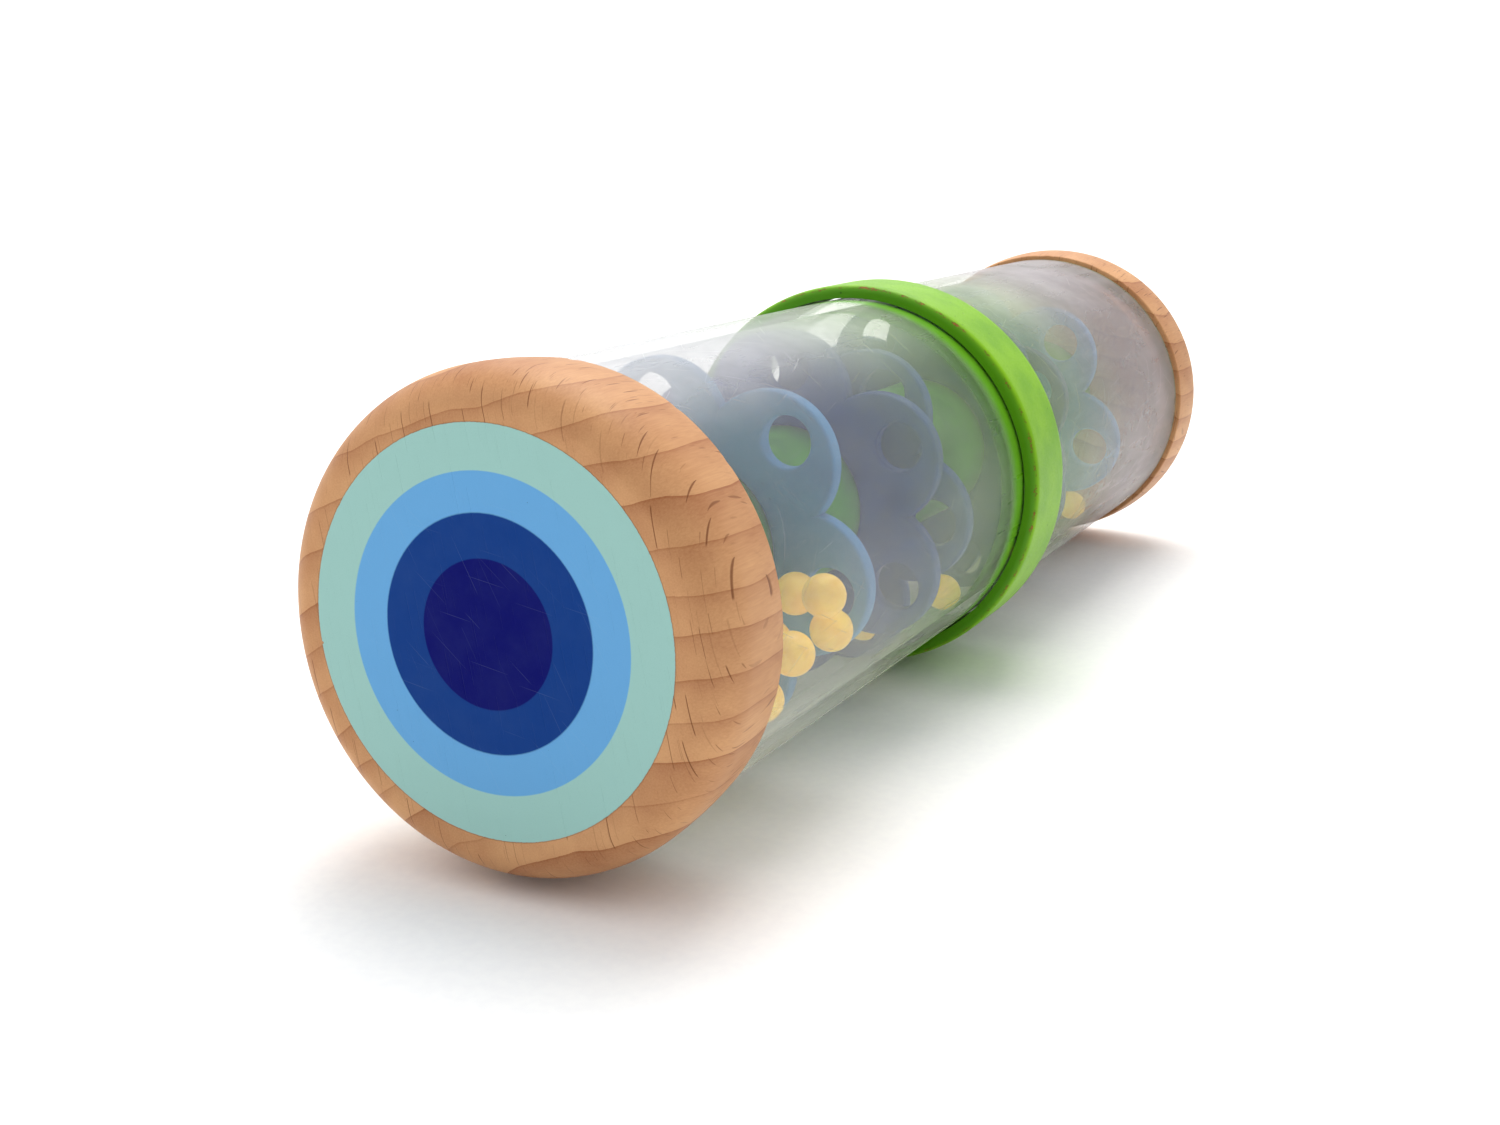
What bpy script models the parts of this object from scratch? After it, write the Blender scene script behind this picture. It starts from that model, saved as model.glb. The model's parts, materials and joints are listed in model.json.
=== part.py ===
"""Rain stick toy: a clear tube with beech caps, a green ring, a green core rod with flower
plates on it, and loose beads. Metres, +Z up. The tube's axis lies along Y with the front cap
at -Y, and the origin is on the ground under the middle."""

import math

import bmesh
import bpy
from mathutils import Matrix, Vector

# Overall sizes
TOTAL_LENGTH = 0.200
TUBE_R = 0.0260
TUBE_WALL = 0.0016
CAP_DEPTH = 0.0137
RING_WIDTH = 0.0130
RING_WALL = 0.0019
CORE_SHARE = 0.4426  # the core rod's radius over the tube's bore

# Caps: how far the crown and the back edge stand out past the tube, and the rounded face
CAP_CROWN_STEP = 0.0013
CAP_EDGE_STEP = 0.0008
FACE_INSET = 0.0041
FACE_ROUND_DEPTH = 0.0060
SPIGOT_DEPTH = 0.0050
SOCKET_DEPTH = 0.0080
EDGE_BREAK = 0.0003

# Middle ring
RING_ROUND = 0.0011

# Flower plates
PLATE_THICK = 0.0024
LOBE_COUNT = 6
LOBE_SHARE = 0.3724  # a lobe's radius over the plate's
LOBE_HOLE_WALL = 0.0019
LIGHT_PLATE_INSET = 0.0436
DARK_OUTER_INSET = 0.0702
DARK_PAIR_GAP = 0.0046

# Beads
BEAD_R = 0.0026
FIRST_LANE = math.radians(-4.5)

# Clearances
GAP = 0.0003
PLATE_WALL_GAP = 0.0005
LOBE_HOLE_CLEARANCE = 0.0006

# Facets
ROUND_SIDES = 60
BORE_SIDES = 36
CORNER_STEPS = 4
LOBE_STEPS = 7
HOLE_SIDES = 12
BEAD_SEGMENTS = 12
BEAD_RINGS = 8

# Worked out from the sizes above
HALF_LENGTH = TOTAL_LENGTH / 2
BORE_R = TUBE_R - TUBE_WALL
CORE_R = BORE_R * CORE_SHARE
CAP_CROWN_R = TUBE_R + CAP_CROWN_STEP
CAP_EDGE_R = TUBE_R + CAP_EDGE_STEP
RING_BORE_R = TUBE_R + GAP
RING_R = RING_BORE_R + RING_WALL
AXIS_Z = max(RING_R, CAP_CROWN_R)
FACE_R = CAP_CROWN_R - FACE_INSET
SPIGOT_R = BORE_R - GAP
SPIGOT_END = CAP_DEPTH + SPIGOT_DEPTH
SOCKET_R = CORE_R + GAP
SOCKET_FLOOR = SPIGOT_END - SOCKET_DEPTH
PLATE_BORE_R = (CORE_R + GAP) / math.cos(math.pi / BORE_SIDES)
PLATE_TIP_R = BORE_R - PLATE_WALL_GAP
LOBE_R = PLATE_TIP_R * LOBE_SHARE
LOBE_CENTRE_R = PLATE_TIP_R - LOBE_R
LOBE_HOLE_R = BEAD_R + LOBE_HOLE_CLEARANCE
LOBE_HOLE_CENTRE_R = PLATE_TIP_R - LOBE_HOLE_WALL - LOBE_HOLE_R
DARK_INNER_INSET = DARK_OUTER_INSET + PLATE_THICK + DARK_PAIR_GAP
BEAD_PITCH = 2 * BEAD_R + GAP
BEAD_WALL_R = BORE_R - GAP - BEAD_R
LANE_PITCH = 2 * math.asin(BEAD_PITCH / 2 / BEAD_WALL_R)

# The angle of each kind of plate's first lobe, from +X towards +Z, seen from the front
LIGHT_TURN = math.radians(48)
DARK_OUTER_TURN = math.radians(30)
DARK_INNER_TURN = math.radians(-6)

# The spaces between the caps and the plates, as (start, end) behind the front face
FRONT_END = (SPIGOT_END, LIGHT_PLATE_INSET)
FRONT_MIDDLE = (LIGHT_PLATE_INSET + PLATE_THICK, DARK_OUTER_INSET)
CENTRE = (DARK_INNER_INSET + PLATE_THICK, TOTAL_LENGTH - DARK_INNER_INSET - PLATE_THICK)
REAR_MIDDLE = (TOTAL_LENGTH - DARK_OUTER_INSET, TOTAL_LENGTH - LIGHT_PLATE_INSET - PLATE_THICK)
REAR_END = (TOTAL_LENGTH - LIGHT_PLATE_INSET, TOTAL_LENGTH - SPIGOT_END)

# Loose beads lie in lanes side by side along the tube's wall, or in a row further in. Each is
# (row, lane, space, share of the way along that space)
WALL_ROW = BEAD_WALL_R
INNER_ROW = BEAD_WALL_R - BEAD_PITCH
LOOSE_BEADS = (
    (INNER_ROW, 0.5, FRONT_END, 0.96),
    (WALL_ROW, 0, FRONT_END, 0.72),
    (WALL_ROW, 1, FRONT_END, 0.96),
    (WALL_ROW, 1, FRONT_END, 0.42),
    (INNER_ROW, 2, FRONT_END, 0.87),
    (WALL_ROW, 2, FRONT_END, 0.28),
    (WALL_ROW, 6, FRONT_END, 0.70),
    (WALL_ROW, 7, FRONT_END, 0.29),
    (WALL_ROW, 8, FRONT_END, 0.60),
    (WALL_ROW, 6, FRONT_MIDDLE, 0.39),
    (WALL_ROW, 7, FRONT_MIDDLE, 0.81),
    (WALL_ROW, 3, CENTRE, 0.34),
    (WALL_ROW, 5, CENTRE, 0.16),
    (WALL_ROW, 6, CENTRE, 0.67),
    (WALL_ROW, 4, REAR_MIDDLE, 0.50),
    (WALL_ROW, 5, REAR_END, 0.25),
    (WALL_ROW, 7, REAR_END, 0.76),
    (WALL_ROW, 4, REAR_END, 0.86),
)

# Beads caught in a lobe's hole: (distance of the plate's front face behind the toy's, the
# plate's turn, lobe)
CAUGHT_BEADS = (
    (LIGHT_PLATE_INSET, LIGHT_TURN, -2),
    (TOTAL_LENGTH - DARK_OUTER_INSET - PLATE_THICK, DARK_OUTER_TURN, -2),
)

BEECH = (0.52, 0.30, 0.16)
CLEAR = (0.92, 0.93, 0.93)
GREEN = (0.15, 0.45, 0.02)
CORE_GREEN = (0.10, 0.34, 0.04)
LIGHT_BLUE = (0.16, 0.42, 0.62)
DARK_BLUE = (0.03, 0.10, 0.35)
YELLOW = (0.85, 0.55, 0.08)


def clear_scene():
    for obj in list(bpy.data.objects):
        bpy.data.objects.remove(obj, do_unlink=True)


def principled(name, colour, roughness, alpha=1.0):
    material = bpy.data.materials.new(name)
    material.use_nodes = True
    shader = material.node_tree.nodes["Principled BSDF"]
    shader.inputs["Base Color"].default_value = (*colour, 1.0)
    shader.inputs["Roughness"].default_value = roughness
    shader.inputs["Metallic"].default_value = 0.0
    shader.inputs["Alpha"].default_value = alpha
    return material


def make_object(name, bm, material, location=(0, 0, 0), smooth=True):
    """One object from a bmesh, its normals outward and its round faces smooth."""
    bmesh.ops.recalc_face_normals(bm, faces=bm.faces)
    mesh = bpy.data.meshes.new(name)
    bm.to_mesh(mesh)
    bm.free()
    obj = bpy.data.objects.new(name, mesh)
    bpy.context.scene.collection.objects.link(obj)
    obj.location = location
    mesh.materials.append(material)
    if smooth:
        mesh.shade_smooth()
        mesh.set_sharp_from_angle(angle=math.radians(35))
    return obj


def front_y(inset):
    """The world Y of a point this far behind the front face."""
    return inset - HALF_LENGTH


def turned(profile, sides=ROUND_SIDES, closed=True):
    """A bmesh turned about the Y axis from (radius, y) points. A closed profile makes a ring,
    and an open one starts and ends on the axis."""
    bm = bmesh.new()
    rows = []
    for radius, y in profile:
        if radius == 0:
            rows.append([bm.verts.new((0, y, 0))])
            continue
        turns = [2 * math.pi * i / sides for i in range(sides)]
        rows.append([bm.verts.new((radius * math.cos(a), y, radius * math.sin(a))) for a in turns])
    pairs = list(zip(rows, rows[1:]))
    if closed:
        pairs.append((rows[-1], rows[0]))
    for first, second in pairs:
        for i in range(sides):
            j = (i + 1) % sides
            corners = [first[i % len(first)], first[j % len(first)]]
            corners += [second[j % len(second)], second[i % len(second)]]
            bm.faces.new(list(dict.fromkeys(corners)))
    return bm


def cap_profile():
    """From the face's centre out over the bulged rim, then in along the back, the spigot and the
    socket, with 0 at the face and depth growing inwards."""
    points = [(0, 0)]
    for step in range(CORNER_STEPS + 1):
        angle = math.pi / 2 * step / CORNER_STEPS
        radius = FACE_R + (CAP_CROWN_R - FACE_R) * math.sin(angle)
        points.append((radius, FACE_ROUND_DEPTH * (1 - math.cos(angle))))
    crown_drop = CAP_CROWN_R - CAP_EDGE_R
    for share in (0.5, 1.0):
        depth = FACE_ROUND_DEPTH + (CAP_DEPTH - EDGE_BREAK - FACE_ROUND_DEPTH) * share
        points.append((CAP_CROWN_R - crown_drop * share**2, depth))
    points += [
        (CAP_EDGE_R - EDGE_BREAK, CAP_DEPTH),
        (SPIGOT_R, CAP_DEPTH),
        (SPIGOT_R, SPIGOT_END - EDGE_BREAK),
        (SPIGOT_R - EDGE_BREAK, SPIGOT_END),
        (SOCKET_R, SPIGOT_END),
        (SOCKET_R, SOCKET_FLOOR),
        (0, SOCKET_FLOOR),
    ]
    return points


def make_cap(name, material, end):
    """A cap whose face is at the -Y end (end = -1) or the +Y end (end = +1)."""
    profile = [(radius, end * (HALF_LENGTH - depth)) for radius, depth in cap_profile()]
    return make_object(name, turned(profile, closed=False), material, (0, 0, AXIS_Z))


def make_tube(material):
    end = HALF_LENGTH - CAP_DEPTH - GAP
    profile = [(TUBE_R, -end), (TUBE_R, end), (BORE_R, end), (BORE_R, -end)]
    return make_object("clear_tube", turned(profile), material, (0, 0, AXIS_Z))


def make_ring(material):
    """A rectangular section whose two outer edges are rounded."""
    profile = [(RING_BORE_R, -RING_WIDTH / 2)]
    for side, start in ((-1, 0), (1, 1)):
        for step in range(CORNER_STEPS + 1):
            angle = math.pi / 2 * (step / CORNER_STEPS + start)
            radius = RING_R - RING_ROUND + RING_ROUND * math.sin(angle)
            along = RING_WIDTH / 2 - RING_ROUND + RING_ROUND * abs(math.cos(angle))
            profile.append((radius, side * along))
    profile.append((RING_BORE_R, RING_WIDTH / 2))
    return make_object("middle_ring", turned(profile), material, (0, 0, AXIS_Z))


def make_core(material):
    end = HALF_LENGTH - SOCKET_FLOOR - GAP
    radius = CORE_R
    profile = [(0, -end), (radius - EDGE_BREAK, -end), (radius, -end + EDGE_BREAK)]
    profile += [(radius, end - EDGE_BREAK), (radius - EDGE_BREAK, end), (0, end)]
    return make_object("core_rod", turned(profile, closed=False), material, (0, 0, AXIS_Z))


def lobe_outline(turn):
    """The flower's outline as (x, z) points: one round arc for each lobe, ending where the
    circles of neighbouring lobes meet."""
    half_pitch = math.pi / LOBE_COUNT
    valley_r = LOBE_CENTRE_R * math.cos(half_pitch)
    valley_r += math.sqrt(LOBE_R**2 - (LOBE_CENTRE_R * math.sin(half_pitch)) ** 2)
    reach = math.atan2(
        valley_r * math.sin(half_pitch), valley_r * math.cos(half_pitch) - LOBE_CENTRE_R
    )
    points = []
    for lobe in range(LOBE_COUNT):
        centre_angle = turn + 2 * math.pi * lobe / LOBE_COUNT
        centre = Vector((math.cos(centre_angle), math.sin(centre_angle))) * LOBE_CENTRE_R
        for step in range(LOBE_STEPS):
            angle = centre_angle + reach * (2 * step / LOBE_STEPS - 1)
            points.append(centre + Vector((math.cos(angle), math.sin(angle))) * LOBE_R)
    return points


def make_cutter(radius, sides, at):
    """A rod along Y, longer than a plate is thick, that cuts a round hole."""
    bm = bmesh.new()
    along_y = Matrix.Translation((at[0], 0, at[1])) @ Matrix.Rotation(math.pi / 2, 4, "X")
    bmesh.ops.create_cone(
        bm, cap_ends=True, segments=sides, radius1=radius, radius2=radius,
        depth=PLATE_THICK * 3, matrix=along_y,
    )
    return bm


def make_plate(name, material, inset, turn):
    """A six-lobed plate whose front face is this far behind the toy's front face, with a bore
    for the core rod and a hole in each lobe."""
    bm = bmesh.new()
    outline = lobe_outline(turn)
    base = bm.faces.new([bm.verts.new((x, -PLATE_THICK / 2, z)) for x, z in outline])
    made = bmesh.ops.extrude_face_region(bm, geom=[base])["geom"]
    moved = [item for item in made if isinstance(item, bmesh.types.BMVert)]
    bmesh.ops.translate(bm, verts=moved, vec=(0, PLATE_THICK, 0))
    plate = make_object(name, bm, material, (0, front_y(inset) + PLATE_THICK / 2, AXIS_Z))

    cutter_bm = make_cutter(PLATE_BORE_R, BORE_SIDES, (0, 0))
    for lobe in range(LOBE_COUNT):
        angle = turn + 2 * math.pi * lobe / LOBE_COUNT
        at = Vector((math.cos(angle), math.sin(angle))) * LOBE_HOLE_CENTRE_R
        hole = make_cutter(LOBE_HOLE_R, HOLE_SIDES, at)
        mesh = bpy.data.meshes.new("hole")
        hole.to_mesh(mesh)
        hole.free()
        cutter_bm.from_mesh(mesh)
    cutter = make_object(name + "_holes", cutter_bm, material, plate.location)
    cutter.hide_render = True
    cutter.display_type = "WIRE"
    cut = plate.modifiers.new("holes", "BOOLEAN")
    cut.operation = "DIFFERENCE"
    cut.solver = "EXACT"
    cut.object = cutter
    return plate


def make_bead(number, material, radius, angle, inset):
    """A round bead this far from the toy's axis and behind its front face."""
    bm = bmesh.new()
    bmesh.ops.create_uvsphere(
        bm, u_segments=BEAD_SEGMENTS, v_segments=BEAD_RINGS, radius=BEAD_R
    )
    place = (radius * math.cos(angle), front_y(inset), AXIS_Z + radius * math.sin(angle))
    make_object(f"bead_{number:02d}", bm, material, place)


def bead_places():
    """(radius, angle, inset) of every bead: the loose ones, then those caught in a hole, which
    rest on the hole's outer side half way through the plate."""
    for row, lane, (start, end), share in LOOSE_BEADS:
        inset = start + BEAD_R + (end - start - 2 * BEAD_R) * share
        yield row, FIRST_LANE - lane * LANE_PITCH, inset
    for inset, turn, lobe in CAUGHT_BEADS:
        radius = LOBE_HOLE_CENTRE_R + LOBE_HOLE_CLEARANCE - GAP
        yield radius, turn + 2 * math.pi * lobe / LOBE_COUNT, inset + PLATE_THICK / 2


def build():
    clear_scene()
    beech = principled("beech", BEECH, 0.55)
    clear = principled("clear_plastic", CLEAR, 0.12, alpha=0.35)
    green = principled("green_paint", GREEN, 0.45)
    core_green = principled("core_green", CORE_GREEN, 0.5)
    light_blue = principled("light_blue", LIGHT_BLUE, 0.45)
    dark_blue = principled("dark_blue", DARK_BLUE, 0.45)
    yellow = principled("yellow_plastic", YELLOW, 0.3)

    make_cap("front_cap", beech, -1)
    make_cap("rear_cap", beech, 1)
    make_tube(clear)
    make_ring(green)
    make_core(core_green)

    front_plates = (
        ("light_plate_front", light_blue, LIGHT_PLATE_INSET, LIGHT_TURN),
        ("dark_plate_front_outer", dark_blue, DARK_OUTER_INSET, DARK_OUTER_TURN),
        ("dark_plate_front_inner", dark_blue, DARK_INNER_INSET, DARK_INNER_TURN),
    )
    for name, material, inset, turn in front_plates:
        make_plate(name, material, inset, turn)
        mirrored = TOTAL_LENGTH - inset - PLATE_THICK
        make_plate(name.replace("front", "rear"), material, mirrored, turn)

    for number, place in enumerate(bead_places(), start=1):
        make_bead(number, yellow, *place)


build()
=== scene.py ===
"""Rain stick toy: beech caps with a printed target, a clear tube, a worn green band, painted
flower plates on a green core, and yellow beads. Metres, +Z up, the tube's axis along Y."""

import json
import math

import bmesh
import bpy
import numpy as np
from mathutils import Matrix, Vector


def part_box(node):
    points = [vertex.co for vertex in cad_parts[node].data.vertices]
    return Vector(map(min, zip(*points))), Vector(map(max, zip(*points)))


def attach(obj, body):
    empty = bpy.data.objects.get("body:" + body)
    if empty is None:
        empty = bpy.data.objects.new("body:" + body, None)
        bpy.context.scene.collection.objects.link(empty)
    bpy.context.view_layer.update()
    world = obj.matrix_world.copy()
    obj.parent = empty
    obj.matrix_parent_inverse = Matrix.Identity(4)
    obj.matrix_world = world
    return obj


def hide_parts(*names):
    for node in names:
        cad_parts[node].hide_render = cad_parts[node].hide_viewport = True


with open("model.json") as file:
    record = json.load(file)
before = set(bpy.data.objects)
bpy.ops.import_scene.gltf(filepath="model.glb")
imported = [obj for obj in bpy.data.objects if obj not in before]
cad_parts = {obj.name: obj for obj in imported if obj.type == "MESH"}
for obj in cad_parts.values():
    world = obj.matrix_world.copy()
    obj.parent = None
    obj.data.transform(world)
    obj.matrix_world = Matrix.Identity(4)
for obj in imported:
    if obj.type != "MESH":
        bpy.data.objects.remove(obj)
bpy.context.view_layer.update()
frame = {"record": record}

FRONT_LOW, FRONT_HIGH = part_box("front_cap")
REAR_LOW, REAR_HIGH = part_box("rear_cap")
TUBE_LOW, TUBE_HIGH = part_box("clear_tube")
BAND_LOW, BAND_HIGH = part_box("middle_ring")
CORE_LOW, CORE_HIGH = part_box("core_rod")

HALF_LENGTH = REAR_HIGH.y
AXIS_Z = (TUBE_LOW.z + TUBE_HIGH.z) / 2
FIT_GAP = 0.0003
TUBE_R = (TUBE_HIGH.z - TUBE_LOW.z) / 2
TUBE_WALL = 0.0016
BORE_R = TUBE_R - TUBE_WALL
CROWN_R = (FRONT_HIGH.z - FRONT_LOW.z) / 2
BAND_R = (BAND_HIGH.z - BAND_LOW.z) / 2
BAND_BORE_R = TUBE_R + FIT_GAP
CORE_R = (CORE_HIGH.z - CORE_LOW.z) / 2

# Caps
CAP_DEPTH = 0.0137
EDGE_R = CROWN_R - 0.0005
FACE_R = CROWN_R - 0.0041
FACE_ROUND_DEPTH = 0.0060
SPIGOT_R = BORE_R - FIT_GAP
SPIGOT_END = 0.0187
SOCKET_R = CORE_R + FIT_GAP
SOCKET_FLOOR = SPIGOT_END - 0.0080
BACK_EASE = 0.0003
SPIGOT_EASE = 0.0004
NICKS = 26
NICK_DEPTHS = 0.00002, 0.00013
CAP_SIDES = 240

# Printed target: the outer radius and the colour of each ring, from the middle out
PRINT_RINGS = (
    (0.0079, (0, 6, 100)),
    (0.0126, (12, 58, 130)),
    (0.0169, (102, 165, 216)),
    (0.0218, (154, 197, 190)),
)
PRINT_R = PRINT_RINGS[-1][0]

# Flower plates
LOBES = 6
PLATE_THICK = 0.0024
PLATE_EASE = 0.0004
PLATE_TIP_R = BORE_R - 0.0005
LOBE_R = PLATE_TIP_R * 0.3724
LOBE_CENTRE_R = PLATE_TIP_R - LOBE_R
HOLE_R = 0.0032
HOLE_TO_TIP = 0.0019
HOLE_CENTRE_R = PLATE_TIP_R - HOLE_TO_TIP - HOLE_R
PLATE_BORE_R = CORE_R + 0.0002
# The angle of each plate's first lobe, in degrees
PLATE_TURNS = {
    "light_plate_front": 48,
    "light_plate_rear": 48,
    "dark_plate_front_outer": 30,
    "dark_plate_rear_outer": 30,
    "dark_plate_front_inner": -6,
    "dark_plate_rear_inner": -6,
}

BEAD_COUNT = 20
SHARP_ANGLE = 40
BARE_WOOD = (176, 104, 46)


# ---------------------------------------------------------------- meshes


def grid_faces(rows, columns, wrap_rows=False):
    """Quads of a grid whose columns join up, numbered row by row. Row i and column j make the
    quad (i, j), (i, j+1), (i+1, j+1), (i+1, j)."""
    i, j = np.meshgrid(np.arange(rows - (not wrap_rows)), np.arange(columns), indexing="ij")
    i, j = i.ravel(), j.ravel()
    next_i, next_j = (i + 1) % rows, (j + 1) % columns
    return np.stack(
        [i * columns + j, i * columns + next_j, next_i * columns + next_j, next_i * columns + j],
        axis=1,
    )


def make_piece(name, points, faces, material, wear=None):
    """A closed piece from arrays of points and quads, its normals outward and its doubled points
    merged. wear is how worn each point is, from 0 to 1."""
    mesh = bpy.data.meshes.new(name)
    mesh.vertices.add(len(points))
    mesh.vertices.foreach_set("co", np.asarray(points, np.float32).ravel())
    mesh.loops.add(faces.size)
    mesh.loops.foreach_set("vertex_index", faces.astype(np.int32).ravel())
    mesh.polygons.add(len(faces))
    mesh.polygons.foreach_set("loop_start", np.arange(0, faces.size, 4, dtype=np.int32))
    mesh.update(calc_edges=True)
    if wear is not None:
        attribute = mesh.attributes.new("wear", "FLOAT", "POINT")
        attribute.data.foreach_set("value", np.asarray(wear, np.float32))
    bm = bmesh.new()
    bm.from_mesh(mesh)
    bmesh.ops.remove_doubles(bm, verts=bm.verts, dist=2e-7)
    bmesh.ops.recalc_face_normals(bm, faces=bm.faces)
    bm.to_mesh(mesh)
    bm.free()
    mesh.shade_smooth()
    mesh.set_sharp_from_angle(angle=math.radians(SHARP_ANGLE))
    mesh.materials.append(material)
    piece = bpy.data.objects.new(name, mesh)
    bpy.context.scene.collection.objects.link(piece)
    return piece


def turned(profile, sides, dent=None):
    """Points of a surface of revolution about the toy's axis: profile row (r, y) at turn t goes
    to (r cos t, y, r sin t). dent(row, t) is taken off the radius."""
    turn = np.arange(sides) * 2 * np.pi / sides
    radius = np.repeat(profile[:, :1], sides, axis=1)
    if dent is not None:
        radius = radius - dent(turn)
    y = np.repeat(profile[:, 1:2], sides, axis=1)
    points = np.stack([radius * np.cos(turn), y, radius * np.sin(turn) + AXIS_Z], axis=-1)
    return points.reshape(-1, 3)


def arc(centre, radii, start, end, steps):
    """Points (r, y) on an ellipse's arc: centre + radii * (cos a, sin a), a in degrees."""
    angle = np.radians(np.linspace(start, end, steps))
    return np.stack(
        [centre[0] + radii[0] * np.cos(angle), centre[1] + radii[1] * np.sin(angle)], axis=1
    )


def corner(radius, y, ease, start, end, steps):
    """The arc that rounds an outer corner at (radius, y), its centre one ease inside it. The
    corner faces -y when the arc starts below 0 degrees, and +y otherwise."""
    centre = (radius - ease, y + ease if start < 0 else y - ease)
    return arc(centre, (ease, ease), start, end, steps)


def line(start, end, steps):
    """Points evenly from start to end."""
    share = np.linspace(0, 1, steps)[:, None]
    return np.array(start) * (1 - share) + np.array(end) * share


def close_to(values, centre, width):
    """1 at centre, falling to 0 a width away, as a bell."""
    return np.exp(-(((values - centre) / width) ** 2))


# ---------------------------------------------------------------- pieces


def cap_profile():
    """From the face's centre over the rounded rim to the sharp back edge, then down the back to
    the spigot and into the core's socket, as (radius, depth behind the face)."""
    drop = CROWN_R - EDGE_R
    back = np.linspace(0, 1, 12)[1:]
    side_depth = CAP_DEPTH - BACK_EASE - FACE_ROUND_DEPTH
    side = np.stack([CROWN_R - drop * back**2, FACE_ROUND_DEPTH + side_depth * back], axis=1)
    return np.concatenate(
        [
            line((0, 0), (FACE_R, 0), 24),
            arc((FACE_R, FACE_ROUND_DEPTH), (CROWN_R - FACE_R, -FACE_ROUND_DEPTH), 90, 0, 30)[1:],
            side,
            corner(EDGE_R, CAP_DEPTH, BACK_EASE, 10, 90, 6),
            line((SPIGOT_R + SPIGOT_EASE, CAP_DEPTH), (SPIGOT_R, CAP_DEPTH), 2),
            line((SPIGOT_R, CAP_DEPTH + 0.0002), (SPIGOT_R, SPIGOT_END - SPIGOT_EASE), 4),
            corner(SPIGOT_R, SPIGOT_END, SPIGOT_EASE, 0, 90, 5)[1:],
            line((SOCKET_R + BACK_EASE, SPIGOT_END), (SOCKET_R, SPIGOT_END), 2),
            line((SOCKET_R, SPIGOT_END - BACK_EASE), (SOCKET_R, SOCKET_FLOOR), 3),
            line((SOCKET_R - 0.001, SOCKET_FLOOR), (0, SOCKET_FLOOR), 4),
        ]
    )


def make_cap(node, material, end, seed):
    """A turned cap at the -Y end (end = -1) or the +Y end (end = +1), with small nicks round its
    back edge: bells of random place and depth, strongest at the edge itself."""
    profile = cap_profile()
    rng = np.random.default_rng(seed)
    spots, depths = rng.uniform(0, 2 * np.pi, NICKS), rng.uniform(*NICK_DEPTHS, NICKS)
    on_edge = close_to(profile[:, 1], CAP_DEPTH - 0.0002, 0.0004) * (profile[:, 0] > SPIGOT_R)

    def dent(turn):
        away = np.angle(np.exp(1j * (turn[:, None] - spots)))
        nicks = (close_to(away, 0, 0.012) * depths).sum(axis=1)
        return on_edge[:, None] * nicks

    world = np.stack([profile[:, 0], end * (HALF_LENGTH - profile[:, 1])], axis=1)
    points = turned(world, CAP_SIDES, dent)
    piece = make_piece(node + "_turned", points, grid_faces(len(world), CAP_SIDES), material)
    return settle(piece, node)


def settle(piece, node):
    """The piece takes a node's place and rides on that node's body."""
    body = next(name for name, nodes in BODIES.items() if node in nodes)
    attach(piece, body)
    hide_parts(node)
    return piece


def make_tube(material):
    """A tube with eased ends: a rectangle with rounded corners carried round the axis."""
    ease, sides = 0.0002, 240
    corners = [
        ((TUBE_R - ease, TUBE_LOW.y + ease), -90, 0),
        ((TUBE_R - ease, TUBE_HIGH.y - ease), 0, 90),
        ((BORE_R + ease, TUBE_HIGH.y - ease), 90, 180),
        ((BORE_R + ease, TUBE_LOW.y + ease), 180, 270),
    ]
    profile = np.concatenate([arc(c, (ease, ease), a, b, 4) for c, a, b in corners])
    profile[:, 0] = np.clip(profile[:, 0], BORE_R, TUBE_R)
    points = turned(profile, sides)
    faces = grid_faces(len(profile), sides, wrap_rows=True)
    return settle(make_piece("tube_wall", points, faces, material), "clear_tube")


def make_band(material):
    """The band: a rectangle with two rounded outer corners carried round the axis, more worn
    where it curves over its edges."""
    round_r, ease, sides = 0.0011, 0.0002, 288
    low, high = BAND_LOW.y, BAND_HIGH.y
    profile = np.concatenate(
        [
            line((BAND_BORE_R, low), (BAND_R - round_r, low), 4)[:-1],
            corner(BAND_R, low, round_r, -90, 0, 10),
            line((BAND_R, low + round_r), (BAND_R, high - round_r), 14)[1:-1],
            corner(BAND_R, high, round_r, 0, 90, 10),
            line((BAND_R - round_r, high), (BAND_BORE_R + ease, high), 4)[1:],
            line((BAND_BORE_R, high - ease), (BAND_BORE_R, low + ease), 6),
        ]
    )
    inset, spread = 0.0003, 0.0004
    radius, y = profile.T
    edge = close_to(y, low + inset, spread) + close_to(y, high - inset, spread)
    wear = edge * close_to(radius, BAND_R - inset, 2 * spread)
    faces = grid_faces(len(profile), sides, wrap_rows=True)
    points = turned(profile, sides)
    piece = make_piece("band_ring", points, faces, material, np.repeat(wear, sides))
    return settle(piece, "middle_ring")


def make_core(material):
    """The core rod: a straight cylinder with rounded ends."""
    ease, sides = 0.0004, 144
    low, high = CORE_LOW.y, CORE_HIGH.y
    profile = np.concatenate(
        [
            line((0, low), (CORE_R - ease, low), 4)[:-1],
            corner(CORE_R, low, ease, -90, 0, 5),
            line((CORE_R, low + ease), (CORE_R, high - ease), 24)[1:-1],
            corner(CORE_R, high, ease, 0, 90, 5),
            line((CORE_R - ease, high), (0, high), 4)[1:],
        ]
    )
    points = turned(profile, sides)
    piece = make_piece("core_turned", points, grid_faces(len(profile), sides), material)
    return settle(piece, "core_rod")


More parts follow.
